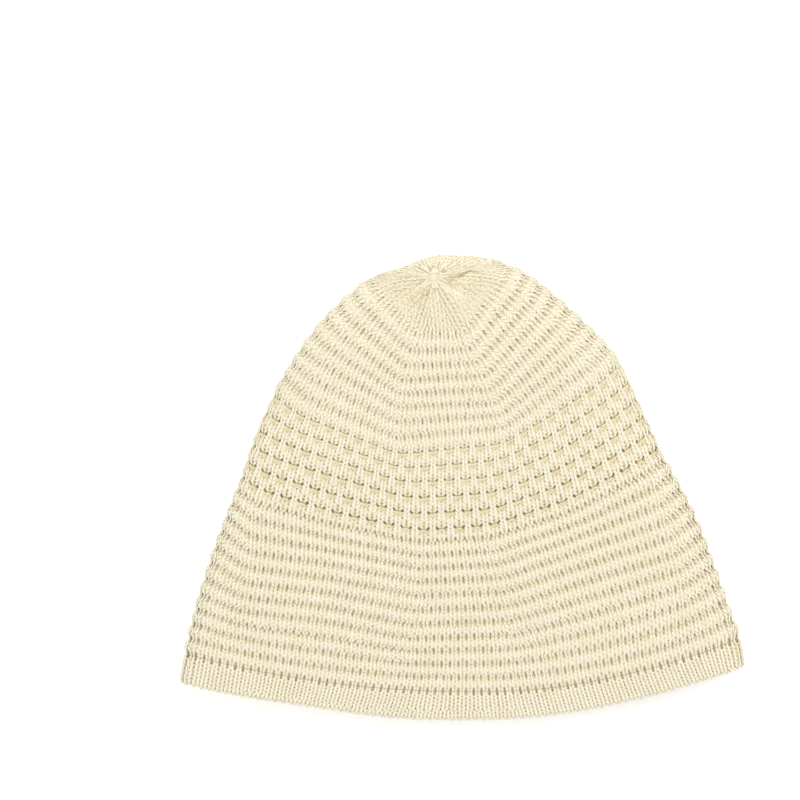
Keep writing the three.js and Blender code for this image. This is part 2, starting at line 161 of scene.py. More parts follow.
def measure(line):
    return np.concatenate([[0], np.cumsum(np.linalg.norm(np.diff(line, axis=0), axis=1))])


def roll_at(y):
    return mix(SIDE_ROLL, TOP_ROLL, smooth(y, TOP_ROLL_START, TOP_ROLL_END))


# The outline and, inside it, the line where the wall folds over
outline_points = np.vstack([LEFT[::-1], TOP_EDGE, RIGHT])
outline_knots = measure(outline_points)
outline = Curve(outline_knots, outline_points)


def fold_point(knot):
    step = 0.5
    a, b = outline(knot - step), outline(knot + step)
    d = (b - a) / np.linalg.norm(b - a, axis=-1, keepdims=True)
    out = np.stack([-d[..., 1], d[..., 0]], -1)
    p = outline(knot)
    shift = (math.pi / 2 - 1) * roll_at(p[..., 1]) - (WALL / 2 + RIDGE)
    return p + out * shift[..., None]


def beyond(p, q):
    return q + (q - p) / np.linalg.norm(q - p) * FOLD_TAIL


FOLD_SAMPLES = 220
CHUNK = 4000  # points at once, to save memory
FOLD_TAIL = 30.0  # the line runs on this far beyond the hem
fold_line = fold_point(outline_knots[-1] * np.arange(FOLD_SAMPLES + 1) / FOLD_SAMPLES)
tails = [beyond(fold_line[a], fold_line[b]) for a, b in ((3, 0), (-3, -1))]
fold_line = np.vstack([tails[0], fold_line, tails[1]])


def foot_on_fold(p):
    """Foot of each point on the fold line, its distance, whether it is inside, and the way in."""
    a, b = fold_line[:-1], fold_line[1:]
    e = b - a
    length2 = (e**2).sum(1)
    foot = np.empty_like(p)
    inward = np.empty_like(p)
    for start in range(0, len(p), CHUNK):
        part = p[start:start + CHUNK]
        rel = part[:, None] - a[None]
        f = np.clip((rel * e).sum(2) / length2, 0, 1)
        feet = a + e * f[..., None]
        d2 = ((part[:, None] - feet) ** 2).sum(2)
        best = d2.argmin(1)
        rows = np.arange(len(part))
        foot[start:start + CHUNK] = feet[rows, best]
        edge = np.sqrt(length2[best])
        inward[start:start + CHUNK] = np.stack([e[best, 1] / edge, -e[best, 0] / edge], 1)
    off = p - foot
    distance = np.linalg.norm(off, axis=1)
    side = (off * inward).sum(1)
    on_line = distance <= 1e-3
    along = np.where(on_line[:, None], inward, off / np.maximum(distance, 1e-9)[:, None])
    inside = (side >= 0) | on_line
    return foot, distance, inside, np.where(inside[:, None], along, -along)


def dent_at(p):
    depth = np.zeros(len(p))
    for x, y, angle, long, wide, deep in DENTS:
        turn = math.radians(angle)
        dx, dy = p[:, 0] - x, p[:, 1] - y
        u = (dx * math.cos(turn) + dy * math.sin(turn)) / long
        v = (dy * math.cos(turn) - dx * math.sin(turn)) / wide
        depth += deep * np.exp(-(u * u + v * v))
    return depth


def place(p, face):
    """Places points of the flat pattern in space; face is 1 front, -1 back, 0 by the fold line."""
    foot, distance, inside, inward = foot_on_fold(p)
    if face == 0:
        s, up = distance, np.where(inside, 1.0, -1.0)
        turn = np.where(inside, 0.0, GATHER_TURN * smooth(s, 0, GATHER_REACH))
    else:
        s, up = np.where(inside, distance, 0.0), np.full(len(p), float(face))
        turn = np.zeros(len(p))
    roll = roll_at(p[:, 1])
    angle = np.minimum(s / roll, math.pi / 2)
    rolled = (math.pi / 2 - 1) * roll + roll * (1 - np.cos(angle))
    d = np.where(angle < math.pi / 2, rolled, s)
    way = mix(inward, np.array([0.0, -1.0]), turn[:, None])
    xy = foot + way / np.linalg.norm(way, axis=1, keepdims=True) * d[:, None]
    z = WALL / 2 + roll + up * roll * np.sin(angle)
    rise = 1 - (1 - np.clip(s / PUFF_REACH, 0, 1)) ** 3
    lift = puff_curve(xy[:, 1])[:, 0] * rise - dent_at(xy) * smooth(s, 0, DENT_FADE)
    return np.column_stack([xy, z + np.where(up > 0, lift, 0)])


def fold_end(run, is_left):
    if run < CROWN_ROW:
        return mix(CROWN, fold_end(CROWN_ROW, is_left), run / CROWN_ROW)
    first = len(ROWS) - 1
    i = int(np.clip(np.searchsorted(RUNS, run) - 1, 0, len(RUNS) - 2))
    f = (run - RUNS[i]) / (RUNS[i + 1] - RUNS[i])
    right_start = len(ROWS) + len(TOP_EDGE)
    a, b = (first - i, first - i - 1) if is_left else (right_start + i, right_start + i + 1)
    return fold_point(np.array(mix(outline_knots[a], outline_knots[b], f)))


def bowed(p, q, bow):
    d = (q - p) / np.linalg.norm(q - p)
    return (p + q) / 2 + np.array([d[1], -d[0]]) * bow


def row_lines(run):
    """One row as polylines of the flat pattern: front, settled back and unfolded back."""
    bow_l, bow_r, _ = row_shape(run)
    out_l, in_l, in_r, out_r = (c(run) for c in corner_curves)
    left, right = fold_end(run, True), fold_end(run, False)
    grow = run / CROWN_ROW
    back_y = BACK_FIRST - (run - CROWN_ROW) * BACK_STRETCH
    front = [left, out_l, bowed(out_l, in_l, bow_l), in_l, in_r, bowed(in_r, out_r, bow_r), out_r, right]
    back = [right, out_r, (in_r[0], back_y), (in_l[0], back_y), out_l, left]
    unfolded = [right, 2 * right - out_r, mix(CROWN, UNDER_RIGHT, grow), mix(CROWN, UNDER_LEFT, grow),
                2 * left - out_l, left]
    return np.array(front), np.array(back), np.array(unfolded)


TAPS = (-0.9, -0.6, -0.3, 0.0, 0.3, 0.6, 0.9)


def soft_points(line, at, s, soft):
    """Points of a line with its corners rounded over soft millimetres each way."""
    reach = np.minimum(np.minimum(soft, s), at[-1] - s)
    total = np.zeros((len(s), 2))
    for tap in TAPS:
        t = s + tap * reach
        total += np.column_stack([np.interp(t, at, line[:, 0]), np.interp(t, at, line[:, 1])])
    return total / len(TAPS)


# The wall's middle surface on a grid. q is 0 at the left fold, 1 at the right fold and, over the
# back, 2 at the left fold again
HALF = 240  # columns of the front, and of the back
GRID_ROWS = 124
FIRST_RUN = 0.6
grid_runs = np.linspace(FIRST_RUN, HEM_ROW, GRID_ROWS)
Q = np.arange(2 * HALF) / HALF
RING_Q = np.append(Q, 2.0)


def middle_ring(run):
    """The middle surface along one row, and the q of the row's eight gore lines."""
    front, back, unfolded = row_lines(run)
    soft = row_shape(max(run, CROWN_ROW))[2] * min(run / CROWN_ROW, 1)
    f_at, b_at, u_at = measure(front), measure(back), measure(unfolded)
    f_points = soft_points(front, f_at, Q[:HALF] * f_at[-1], soft)
    settled = float(smooth(run, GATHER_ROW, SETTLED_ROW))
    share = Q[HALF:] - 1
    open_points = place(soft_points(unfolded, u_at, share * u_at[-1], soft), 0)
    back_points = open_points
    if settled > 0:
        flat = place(soft_points(back, b_at, share * b_at[-1], soft), -1)
        back_points = mix(open_points, flat, settled)
    ring = np.vstack([place(f_points, 0 if run < CROWN_ROW else 1), back_points])
    front_lines = f_at[[1, 3, 4, 6]] / f_at[-1]
    back_lines = 1 + mix(u_at[1:5] / u_at[-1], b_at[1:5] / b_at[-1], settled)
    return ring, np.concatenate([front_lines, back_lines])


grid, gore_lines = (np.array(part) for part in zip(*[middle_ring(run) for run in grid_runs]))
down = np.gradient(grid, axis=0)
along = np.roll(grid, -1, axis=1) - np.roll(grid, 1, axis=1)
grid_normals = np.cross(down, along)
grid_normals /= np.linalg.norm(grid_normals, axis=2, keepdims=True)
surface = np.concatenate([grid, grid_normals], axis=2)


def cubic_weights(f):
    return np.stack([
        ((-f + 2) * f - 1) * f / 2,
        ((3 * f - 5) * f * f + 2) / 2,
        ((-3 * f + 4) * f + 1) * f / 2,
        (f - 1) * f * f / 2,
    ], -1)


def on_surface(run, q):
    """Middle points and outward normals at any run and q."""
    run, q = np.broadcast_arrays(run, q)
    shape = run.shape
    run, q = run.ravel(), q.ravel()
    i = (run - grid_runs[0]) / (grid_runs[1] - grid_runs[0])
    j = (q % 2) * HALF
    i = np.clip(i, 0, len(grid_runs) - 1.0001)
    i0, j0 = np.floor(i).astype(int), np.floor(j).astype(int)
    wi, wj = cubic_weights(i - i0), cubic_weights(j - j0)
    total = np.zeros((len(run), 6))
    for a in range(4):
        rows = np.clip(i0 + a - 1, 0, len(grid_runs) - 1)
        for b in range(4):
            total += surface[rows, (j0 + b - 1) % (2 * HALF)] * (wi[:, a] * wj[:, b])[:, None]
    normal = total[:, 3:] / np.linalg.norm(total[:, 3:], axis=1, keepdims=True)
    return total[:, :3].reshape(shape + (3,)), normal.reshape(shape + (3,))


def relief_at(run):
    """Height of the knitted relief over its valleys."""
    height = np.zeros(np.shape(run))
    for first, pitch, count, after, relief in (
        (CROWN_FIRST, CROWN_PITCH, CROWN_ROWS, LACE_FIRST, RIDGE),
        (LACE_FIRST, LACE_PITCH, LACE_ROWS, LOWER_FIRST, LACE_RELIEF),
        (LOWER_FIRST, LOWER_PITCH, LOWER_ROWS - 1, JOIN_ROW, RIDGE),
    ):
        last = first + pitch * (count - 1)
        f = np.where(run < last, ((run - first) / pitch) % 1, (run - last) / (after - last))
        here = (run >= first) & (run < after)
        height = np.where(here, relief * np.sin(math.pi * np.clip(f, 0, 1)) ** RIDGE_CURVE, height)
    return height


def pucker_at(run, p, n):
    """Gathers round the crown point, smoothed out where the knit folds over."""
    turn = np.arctan2(p[..., 1] - CROWN[1], p[..., 0] - CROWN[0])
    spread = smooth(run, 2, 9) * (1 - smooth(run, 15, 30)) * smooth(np.abs(n[..., 2]), 0.4, 0.9)
    return PUCKER * spread * np.cos(GATHERS * turn)


# How far the knit swells out at its folded edges: height on the hat, left and right edge
EDGE_SWELL = np.array([
    [10, 1.3, 1.6], [42, 1.1, 1.5], [58, 0.7, 0.2], [75, 0.5, 0.5], [105, 0.6, 1.3], [180, 0.9, 1.2],
    [200, 0.0, 0.3], [228, 0.0, 0.6], [237, 1.4, 0.7], [244, 1.8, 1.8],
])


def edge_swell(p, n):
    sideways = smooth(1 - np.abs(n[..., 2]), 0.2, 0.9)
    left, right = (np.interp(p[..., 1], EDGE_SWELL[:, 0], EDGE_SWELL[:, c]) for c in (1, 2))
    return sideways * np.where(p[..., 0] < 0, left, right)


BACK_RIDGE = 0.9  # where the back rests, its ridges are flattened to this height
HEM_START = JOIN_ROW + JOIN_GAP
HEM_TURN = HEM_ROW - HEM_WALL / 2
THICKEN = (HEM_START + 0.4, HEM_START + 1.8)


def outside_at(run, q, depth):
    """A point over the middle surface, depth below the plain knit's outside."""
    half = mix(WALL, HEM_WALL, smooth(run, *THICKEN)) / 2
    turn = np.clip((run - HEM_TURN) / (HEM_WALL / 2), 0, math.pi / 2)
    thick = half - depth
    run = np.minimum(run, HEM_TURN) + np.where(turn > 0, thick, 0) * np.sin(turn)
    p, n = on_surface(run, q)
    relief = relief_at(run)
    under = smooth(-n[..., 2], 0.3, 0.9)
    relief = mix(relief, np.minimum(relief, BACK_RIDGE) - BACK_RIDGE, under)
    off = thick * np.cos(turn) + relief + pucker_at(run, p, n) + edge_swell(p, n)
    return p + n * off[..., None], n


# Stitches of a gore in each course round the crown point, and of a whole course further down
STAR_COUNTS = (1, 1, 2, 2, 3, 3, 4, 4, 5, 5, 6)
STAR_START, STAR_END = 1.0, CROWN_ROW - 0.25 * CROWN_PITCH
CROWN_COUNT = 6  # stitches of a front gore in the crown's first ridge
LACE_WALES = 104
LOWER_WALES = (104, 144)
GORES = 8
FRONT_GORES = 3  # the first three gores are the front's
WIDEST_HALF = 0.62  # widest half of a wale against the usual pitch


def ring_measure(run):
    """Arc length round the middle surface at one run, and the gore lines along it."""
    lines = np.array([np.interp(run, grid_runs, gore_lines[:, g]) for g in range(GORES)])
    return measure(on_surface(run, RING_Q)[0]), lines


def gore_spans(run):
    """Middle and width of the eight gores, along the ring's arc length."""
    arc, lines = ring_measure(run)
    s = np.interp(lines, RING_Q, arc)
    ends = np.append(s[1:], s[0] + arc[-1])
    return arc, (s + ends) / 2, ends - s


def q_of(arc, s):
    return np.interp(s % arc[-1], arc, RING_Q)


# Lean of the slots by gore, in degrees to the right going down: left end, middle, right end
GORE_LEANS = np.array([
    [-6, -14, -27], [22, 0, -22], [27, 14, -3], [34, 26, -24],
    [24, 0, -24], [24, 0, -24], [24, 0, -24], [24, -26, -30],
])
# The lean is lost towards the hem: distance down the front and share
LEAN_FADE = ((188, 205, 217), (1.0, 0.6, 0.0))


def lean_of(gores, across, run):
    left, middle, right = np.tan(np.radians(GORE_LEANS[gores])).T
    lean = np.where(across < 0, mix(middle, left, -across), mix(middle, right, across))
    return lean * np.interp(run, *LEAN_FADE)


def evenly(arc, half):
    """Even places over the front and over the back of one ring."""
    f = (np.arange(half) + 0.5) / half
    return np.concatenate([f * arc[HALF], arc[HALF] + f * (arc[-1] - arc[HALF])])


def gore_counts(zone, count, widths, around):
    """Stitches of each gore."""
    if zone == "star":
        return [count] * GORES
    if zone == "crown":
        pitch = widths[:FRONT_GORES].mean() / count
        others = [max(int(round(width / pitch)), 2) for width in widths[FRONT_GORES:]]
        return [count] * FRONT_GORES + others
    pitch = around / count
    return [max(2 * int(round((widths[g] / pitch - g % 2) / 2)) + g % 2, 1) for g in range(GORES)]


def lay_wales(top, bottom, zone, count):
    """The wales of one course: q at three heights, half widths and the lean of the slots."""
    heights = (top, (top + bottom) / 2, bottom)
    arc, centres, widths = gore_spans(heights[1])
    if zone == "lace":
        s = evenly(arc, count // 2)
        arcs = [ring_measure(run)[0] for run in heights]
        qs = [q_of(ring, evenly(ring, count // 2)) for ring in arcs]
        return finish_wales(arc, s, qs, np.arange(len(s)), np.zeros(len(s)))
    counts = gore_counts(zone, count, widths, arc[-1])
    gores = np.repeat(np.arange(GORES), counts)
    offsets = np.concatenate([((np.arange(n) + 0.5) / n - 0.5) * w for n, w in zip(counts, widths)])
    s = centres[gores] + offsets
    qs = []
    for run in heights:
        ring, c, w = gore_spans(run)
        qs.append(q_of(ring, c[gores] + offsets * (w[gores] / widths[gores])))
    lean = lean_of(gores, 2 * offsets / widths[gores], heights[1])
    return finish_wales(arc, s, qs, np.argsort(s % arc[-1]), lean)


def finish_wales(arc, s, qs, order, lean):
    s = (s % arc[-1])[order]
    qs = np.array(qs)[:, order]
    qs[0] = qs[1] + (qs[0] - qs[1] + 1) % 2 - 1
    qs[2] = qs[1] + (qs[2] - qs[1] + 1) % 2 - 1
    gap = np.diff(np.append(s, s[0] + arc[-1]))
    usual = np.median(gap)
    half_right = np.minimum(gap / 2, WIDEST_HALF * usual)
    half_left = np.roll(half_right, 1)
    per_mm = np.interp(s, arc, np.gradient(RING_Q, arc))
    return Record(
        q=qs, left=half_left, right=half_right, lean=lean[order], pitch=usual, per_mm=per_mm)


# Kinds of course. open_a is half the gap between wales and open_b half the gap inside the stitch.
# deep and dark are the depth and the painted shade of the cloth behind. pin is the t a leaning slot turns
# about
KIND_COLUMNS = ("open_a", "open_b", "deep", "dark", "pin")
KIND_ROWS = {
    "plain": (-0.30, -0.34, 0.44, 0.08, None),
    "slot": (0.18, -0.42, 1.00, 0.22, 1.0),
    "tail": (0.15, -0.34, 0.90, 0.15, 0.0),
    "closed": (-0.40, -0.40, 0.42, 0.08, None),
    "dotted": (-0.35, 0.00, 0.46, 0.10, None),
    "star": (-0.22, -0.22, 0.42, 0.16, None),
    "hem": (-0.24, -0.24, 0.54, 0.17, None),
    "join": (0.34, -0.30, 1.00, 0.40, 0.0),
}
KINDS = {name: Record(**dict(zip(KIND_COLUMNS, row))) for name, row in KIND_ROWS.items()}

# Painted shade of the holes between the yarns, by kind of course: column (A between wales, B inside the
# stitch), t down the course, half width and half length in millimetres, and darkness of the middle
HOLE_SHADES = {
    "slot": [("A", 0.40, 0.31, 1.00, 2.70), ("B", 0.80, 0.44, 0.60, 0.24)],
    "tail": [("A", 0.30, 0.28, 1.30, 1.25), ("B", 0.35, 0.60, 0.85, 0.26)],
    "plain": [("A", 0.60, 0.50, 0.54, 1.45), ("B", 0.10, 0.48, 0.54, 1.30)],
    "closed": [("A", 0.60, 0.40, 0.40, 0.45), ("B", 0.10, 0.36, 0.40, 0.40)],
    "dotted": [("B", 0.45, 0.48, 0.55, 0.95)],
    "star": [("A", 0.60, 0.50, 0.50, 1.10), ("B", 0.10, 0.46, 0.46, 0.90)],
    "hem": [("A", 0.60, 0.52, 0.50, 1.50), ("B", 0.10, 0.46, 0.46, 1.00)],
    "join": [("A", 0.60, 0.60, 1.20, 1.30)],
}
# Painted shade of the holes at a tuck's end: u as a share of half a wale, t, half width, half length, tilt,
# darkness
TUCK_HOLE_SHADES = [
    (-0.98, 0.66, 0.80, 1.40, 0.40, 2.30),
    (0.98, 0.66, 0.80, 1.40, -0.40, 2.30),
    (0.00, 1.10, 1.80, 0.50, 0.00, 0.65),
    (0.00, -0.70, 0.48, 0.90, 0.00, 1.30),
    (0.00, 2.25, 0.50, 0.50, 0.00, 1.15),
    (-0.95, 2.10, 0.46, 0.55, 0.00, 1.15),
    (0.95, 2.10, 0.46, 0.55, 0.00, 1.15),
]
CROWN_DARK = 1.10  # darkness of the crown's painted hole shades against the others
# Least and most of the random share of a painted hole shade's darkness, by zone
HOLE_SHADE_CHANCE = {"star": (0.6, 1.2), "crown": (0.2, 1.5), "lace": (0.6, 1.2), "lower": (0.5, 1.5)}
HOLE_SHADE_SIZES = (0.85, 1.1)  # and of its size
HOLE_SHADE_SIDES = 6
HOLE_SHADE_RISE = 0.07  # the painted hole shades lie this far over the cloth behind
# painted shade at the rims of the hole shades
RIM_DARK = 0.18
USUAL_WALE = 4.2  # painted hole shades are smaller where the wales are narrower than this

courses = []


def add_course(piece, kind, top, bottom, zone, count, lace=None):
    courses.append(Record(
        piece=piece, kind=kind, top=top, bottom=bottom, zone=zone, count=count, lace=lace))


star_step = (STAR_END - STAR_START) / len(STAR_COUNTS)
for i, n in enumerate(STAR_COUNTS):
    add_course("crown", "star", STAR_START + i * star_step, STAR_START + (i + 1) * star_step, "star", n)

RIDGE_KINDS = ("tail", "closed", "dotted", "slot")
for k in range(CROWN_ROWS):
    row = CROWN_FIRST + CROWN_PITCH * k
    is_last = k == CROWN_ROWS - 1
    quarter = (LACE_FIRST - row if is_last else CROWN_PITCH) / 4
    if k == 0:
        add_course("crown", "slot", row - quarter, row, "crown", CROWN_COUNT)
    for c, kind in enumerate(RIDGE_KINDS):
        top, bottom = row + quarter * c, row + quarter * (c + 1)
        if is_last and c >= 2:
            add_course("crown", "plain", top, bottom, "lace", LACE_WALES, (0, c))
        else:
            add_course("crown", kind, top, bottom, "crown", CROWN_COUNT + k + (c == 3))

for k in range(LACE_ROWS):
    row = LACE_FIRST + LACE_PITCH * k
    is_last = k == LACE_ROWS - 1
    quarter = ((LOWER_FIRST if is_last else row + LACE_PITCH) - row) / 4
    for c, kind in enumerate(RIDGE_KINDS):
        top, bottom = row + quarter * c, row + quarter * (c + 1)
        if is_last and c >= 2:
            add_course("lace", kind, top, bottom, "lace", LACE_WALES)
        else:
            add_course("lace", "plain", top, bottom, "lace", LACE_WALES, (k + (c >= 2), c))

SPLIT_ROW = 6  # from here on the lower ridges are a second piece
for k in range(LOWER_ROWS - 1):
    row = LOWER_FIRST + LOWER_PITCH * k
    quarter = LOWER_PITCH / 4
    for c, kind in enumerate(RIDGE_KINDS):
        top = row + quarter * c
        wales = mix(*LOWER_WALES, (k + (c == 3)) / (LOWER_ROWS - 1))
        piece = "middle" if k < SPLIT_ROW else "lower"
        add_course(piece, kind, top, top + quarter, "lower", wales)

HEM_COURSES = 8
hem_step = (HEM_TURN + math.pi / 4 * HEM_WALL - HEM_START) / HEM_COURSES
for i in range(HEM_COURSES):
    kind = "join" if i == 0 else "hem"
    top = HEM_START + hem_step * i
    add_course("hem", kind, top, top + hem_step, "lower", LOWER_WALES[1])

# Path of a leg of yarn: t down the course, e from the stitch's middle outward, height, thickness
LEG_PATH = np.array([
    [-0.25, 1.00, -0.34, 0.66],
    [0.08, 0.93, -0.02, 0.96],
    [0.45, 0.52, 0.09, 1.05],
    [0.82, 0.12, 0.08, 1.00],
    [1.15, 0.00, -0.26, 0.66],
])
BACK_PATH = LEG_PATH[[0, 2, 4]]
BACK_PATH[:, 3] = (0.8, 1.1, 0.8)
PATHS = {"front": LEG_PATH, "back": BACK_PATH}
FRONT_MARGIN = 0.045  # the front's finer stitches reach this far round the folds, in q
LEG_END = 0.7  # a tuck draws up the path from this t on
FIRST_LEG_RUN = 0.7  # no leg starts nearer to the crown point
LEG_WIDTH = 0.41  # half thickness of a leg across, as a share of half a wale
LEG_WIDTH_MAX = 0.86
LEG_ROOM = 1.1  # half of the room a leg takes across, against its half thickness
LEG_HEIGHT = 0.38  # half thickness out of the cloth
STAR_HEIGHT = 0.22  # the same in the flatter knit round the crown point
FULL_WIDTH = 0.85  # legs narrower than this are lower, too
UNEVEN = 0.05  # random spread of the legs' thickness, place and depth
SHADE_SPREAD = 0.03  # and of their shade
LEG_DEPTH = 0.36  # the legs' middle lies this far under the plain knit's outside
RIDGE_LEAN = 0.45  # how much of the slots' lean the crown's ridges have
KEEP_APART = 0.55  # beside a slot the legs close up later: power of the share outward
SPOT = 0.42  # half gap of the open band's dark spots
ROW_GROWTH = (0.75, 1.2)  # size of the spots in its first and last rows
# The crown's slots are narrower: distance down the front, and share of the full gap by kind
CROWN_GAPS = (24.0, 42.0, 80.0)
CROWN_SHARES = {"slot": (0.35, 0.75, 1.05), "tail": (-0.50, 0.10, 0.55)}
GAP_SPREAD = 0.30  # random spread of the slots' widths
SWELL = 0.32  # how much wider a wale of the open band is just over its tuck
SWELL_REACH = 0.8  # reach of this, in courses
SWELL_UNDER = -0.6  # share of it just under the tuck
TUCK_PULL = -0.14  # how far the stitch over a tuck is drawn up, in courses
TUCK_GAP = 0.02  # half gap inside the stitch above that one
LOOP_GAP = -0.16  # half gap between wales in the second course under a row of tucks
TUCK_DEPTHS = (0.30, -0.22)  # by a tuck, depth added to its own wale and to the others

# Shade of the yarn down a course beside a valley: t and shade
FLAT_SHADE = ((0.0, 1.0), (0.0, 0.0))
VALLEY_SHADE = {
    "star": ((0.0, 1.0), (0.11, 0.11)),
    "slot": ((0.1, 1.1), (0.0, 0.22)),
    "tail": ((0.0, 0.6, 1.1), (0.22, 0.20, 0.04)),
    "join": ((0.0, 0.9), (0.22, 0.0)),
}
ZONE_SHADE = {"crown": 0.45, "lower": 0.75}  # share of that shade, by zone
TUCK_SHADE = 0.74  # deeper shade of a tuck's own wale
TUCK_SHADE_AT = 0.40  # its middle, in courses under the tuck
TUCK_SHADE_REACH = 0.80
PALE_DOT_SHADE = 0.45  # darkness of the painted shade dots beside the other wales of the open band

random = np.random.default_rng(SEED)
legs = {}


def add_yarns(piece, face, run, q, depth, width, height, shade):
    legs.setdefault((piece, face), []).append(Record(
        run=run, q=q, depth=depth, width=width, height=height, shade=shade))


def on_front(wales):
    q = wales.q[1] % 2
    return (q < 1 + FRONT_MARGIN) | (q > 2 - FRONT_MARGIN)


def make_legs(course):
    kind = KINDS[course.kind]
    wales = lay_wales(course.top, course.bottom, course.zone, course.count)
    count = wales.q.shape[1]
    length = course.bottom - course.top
    open_a = kind.open_a
    if course.zone == "crown" and open_a > 0:
        open_a *= np.interp(course.top, CROWN_GAPS, CROWN_SHARES[course.kind])
    jitter = random.normal(0, 1, (6, count))
    spread = GAP_SPREAD if open_a > 0 else 0.0
    open_left = open_a * (1 + spread * jitter[4])
    open_right = open_a * (1 + spread * jitter[5])
    open_b = np.full(count, kind.open_b)
    reach_down = np.zeros(count)
    skip = np.zeros(count, bool)
    # tucked is 1 where a wale of the open band carries a tuck above this row
    tucked = np.zeros(count)
    part = -1
    spot = SPOT
    if course.lace:
        lace_row, part = course.lace
        tucked = (np.arange(count) + lace_row) % 2
        spot = SPOT * mix(*ROW_GROWTH, lace_row / (LACE_ROWS - 1))
        if part == 3:
            reach_down = np.where(tucked == 1, TUCK_PULL, 0.0)
        elif part == 2:
            open_b = np.where(tucked == 1, TUCK_GAP, kind.open_b)
        elif part == 0:
            skip = tucked == 1
        elif part == 1:
            open_left = open_right = np.full(count, LOOP_GAP)
    height = STAR_HEIGHT if course.zone == "star" else LEG_HEIGHT
    late = 1.0 if kind.pin is None else KEEP_APART
    for face, path in PATHS.items():
        # a row for each stitch and a column for each point of the path
        picked = np.flatnonzero((on_front(wales) == (face == "front")) & ~skip)[:, None]
        path_t, outward, rise, thickness = path.T
        own = tucked[picked]
        lean = wales.lean[picked]
        t = path_t + np.where(path_t > LEG_END, 1, 0) * reach_down[picked]
        run = np.maximum(course.top + t * length, FIRST_LEG_RUN)
        e = outward ** late * np.ones(picked.shape)
        for side, halves, gaps in ((-1, wales.left, open_left), (1, wales.right, open_right)):
            half = halves[picked]
            width = np.minimum(half * LEG_WIDTH, LEG_WIDTH_MAX) * (1 + UNEVEN * jitter[0, picked])
            opening = gaps[picked] * np.ones(len(path))
            if part == 3:
                opening = mix(opening, spot, smooth(t, 0.1, 0.8))
            elif part == 0:
                opening = mix(spot * 0.8, opening, smooth(t, 0.0, 0.6))
            outer = half - opening - LEG_ROOM * width
            inner = np.minimum(open_b[picked] + LEG_ROOM * width, outer)
            u = side * mix(inner, outer, e)
            if kind.pin is not None:
                u = u + lean * (t - kind.pin) * length * e
            elif course.zone == "crown":
                u = u + RIDGE_LEAN * lean * (t - 0.5) * length
            if course.lace:
                over = 4 - (part + t) if part >= 2 else part + t
                swell = SWELL * np.exp(-((over - 1.0) / SWELL_REACH) ** 2)
                swell = swell * (1 if part >= 2 else SWELL_UNDER)
                u = u + side * e * swell * np.where(own == 1, 1, -1)
            u = u + UNEVEN * jitter[1, picked]
            q3 = wales.q[:, picked]
            q = q3[0] * (2 * t - 1) * (t - 1) + q3[1] * 4 * t * (1 - t) + q3[2] * t * (2 * t - 1)
            depth = LEG_DEPTH - rise - UNEVEN * jitter[2, picked]
            if part in (0, 3):
                near = smooth(t, 0.2, 0.9) if part == 3 else 1 - smooth(t, 0.1, 0.8)
                depth = depth + near * np.where(own == 1, *TUCK_DEPTHS)
            shade = np.interp(t, *VALLEY_SHADE.get(course.kind, FLAT_SHADE))
            shade = shade * ZONE_SHADE.get(course.zone, 1.0) + SHADE_SPREAD * jitter[3, picked]
            if course.lace:
                fall = part + t - (4 if part >= 2 else 0)
                near = np.exp(-((fall - TUCK_SHADE_AT) / TUCK_SHADE_REACH) ** 2)
                shade = shade + TUCK_SHADE * near * own
            q = q + u * wales.per_mm[picked]
            high = height * thickness * np.minimum(width / FULL_WIDTH, 1.1)
            add_yarns(course.piece, face, run, q, depth, width * thickness, high, shade)
    if part == 0:
        make_arches(course, wales, skip, length)
    lay_hole_shades(course, wales, tucked)


# The pale loop under a tuck: u as a share of half a wale, t, height and thickness
ARCH = np.array([
    [-0.72, 1.30, -0.40, 0.6], [-0.68, 0.85, -0.05, 0.95], [-0.42, 0.48, 0.08, 1.0], [0.0, 0.36, 0.12, 1.0],
    [0.42, 0.48, 0.08, 1.0], [0.68, 0.85, -0.05, 0.95], [0.72, 1.30, -0.40, 0.6],
])
ARCH_PATHS = {"front": ARCH, "back": ARCH[[0, 3, 6]]}
ARCH_WIDTH = 0.62  # half thickness across
ARCH_FLATNESS = 0.85  # thickness out of the cloth against that
ARCH_SHADE = 0.34


def make_arches(course, wales, skip, length):
    for face, path in ARCH_PATHS.items():
        chosen = np.flatnonzero((on_front(wales) == (face == "front")) & skip)[:, None]
        across, path_t, rise, thickness = path.T
        half = (wales.left[chosen] + wales.right[chosen]) / 2
        t = path_t + np.zeros(half.shape)
        width = ARCH_WIDTH * thickness + 0 * t
        run, depth = course.top + t * length, LEG_DEPTH - rise + 0 * t
        q = wales.q[1][chosen] + across * (half * wales.per_mm[chosen])
        shade = ARCH_SHADE + 0 * t
        add_yarns(course.piece + "_arch", face, run, q, depth, width, width * ARCH_FLATNESS, shade)


# Depth and painted shade of the cloth behind the stitches, level over the middle of each course
LEVEL = (0.22, 0.78)
ZONE_BASE = {"crown": 0.55, "lower": 0.70}  # share of the depth and the painted shade behind the slots
base_runs, base_depths, base_darks = [], [], []
for course in courses:
    behind = KINDS["slot" if course.lace and course.lace[1] == 3 else course.kind]
    base_share = ZONE_BASE.get(course.zone, 1.0) if course.piece != "hem" else 1.0
    for level in LEVEL:
        base_runs.append(mix(course.top, course.bottom, level))
        base_depths.append(mix(KINDS["plain"].deep, behind.deep, base_share))
        base_darks.append(behind.dark * base_share)


def base_depth_at(run):
    return np.interp(run, base_runs, base_depths)


# painted shade in the holes between the yarns, for the body and the hem
hole_shades = {"body": [], "hem": []}


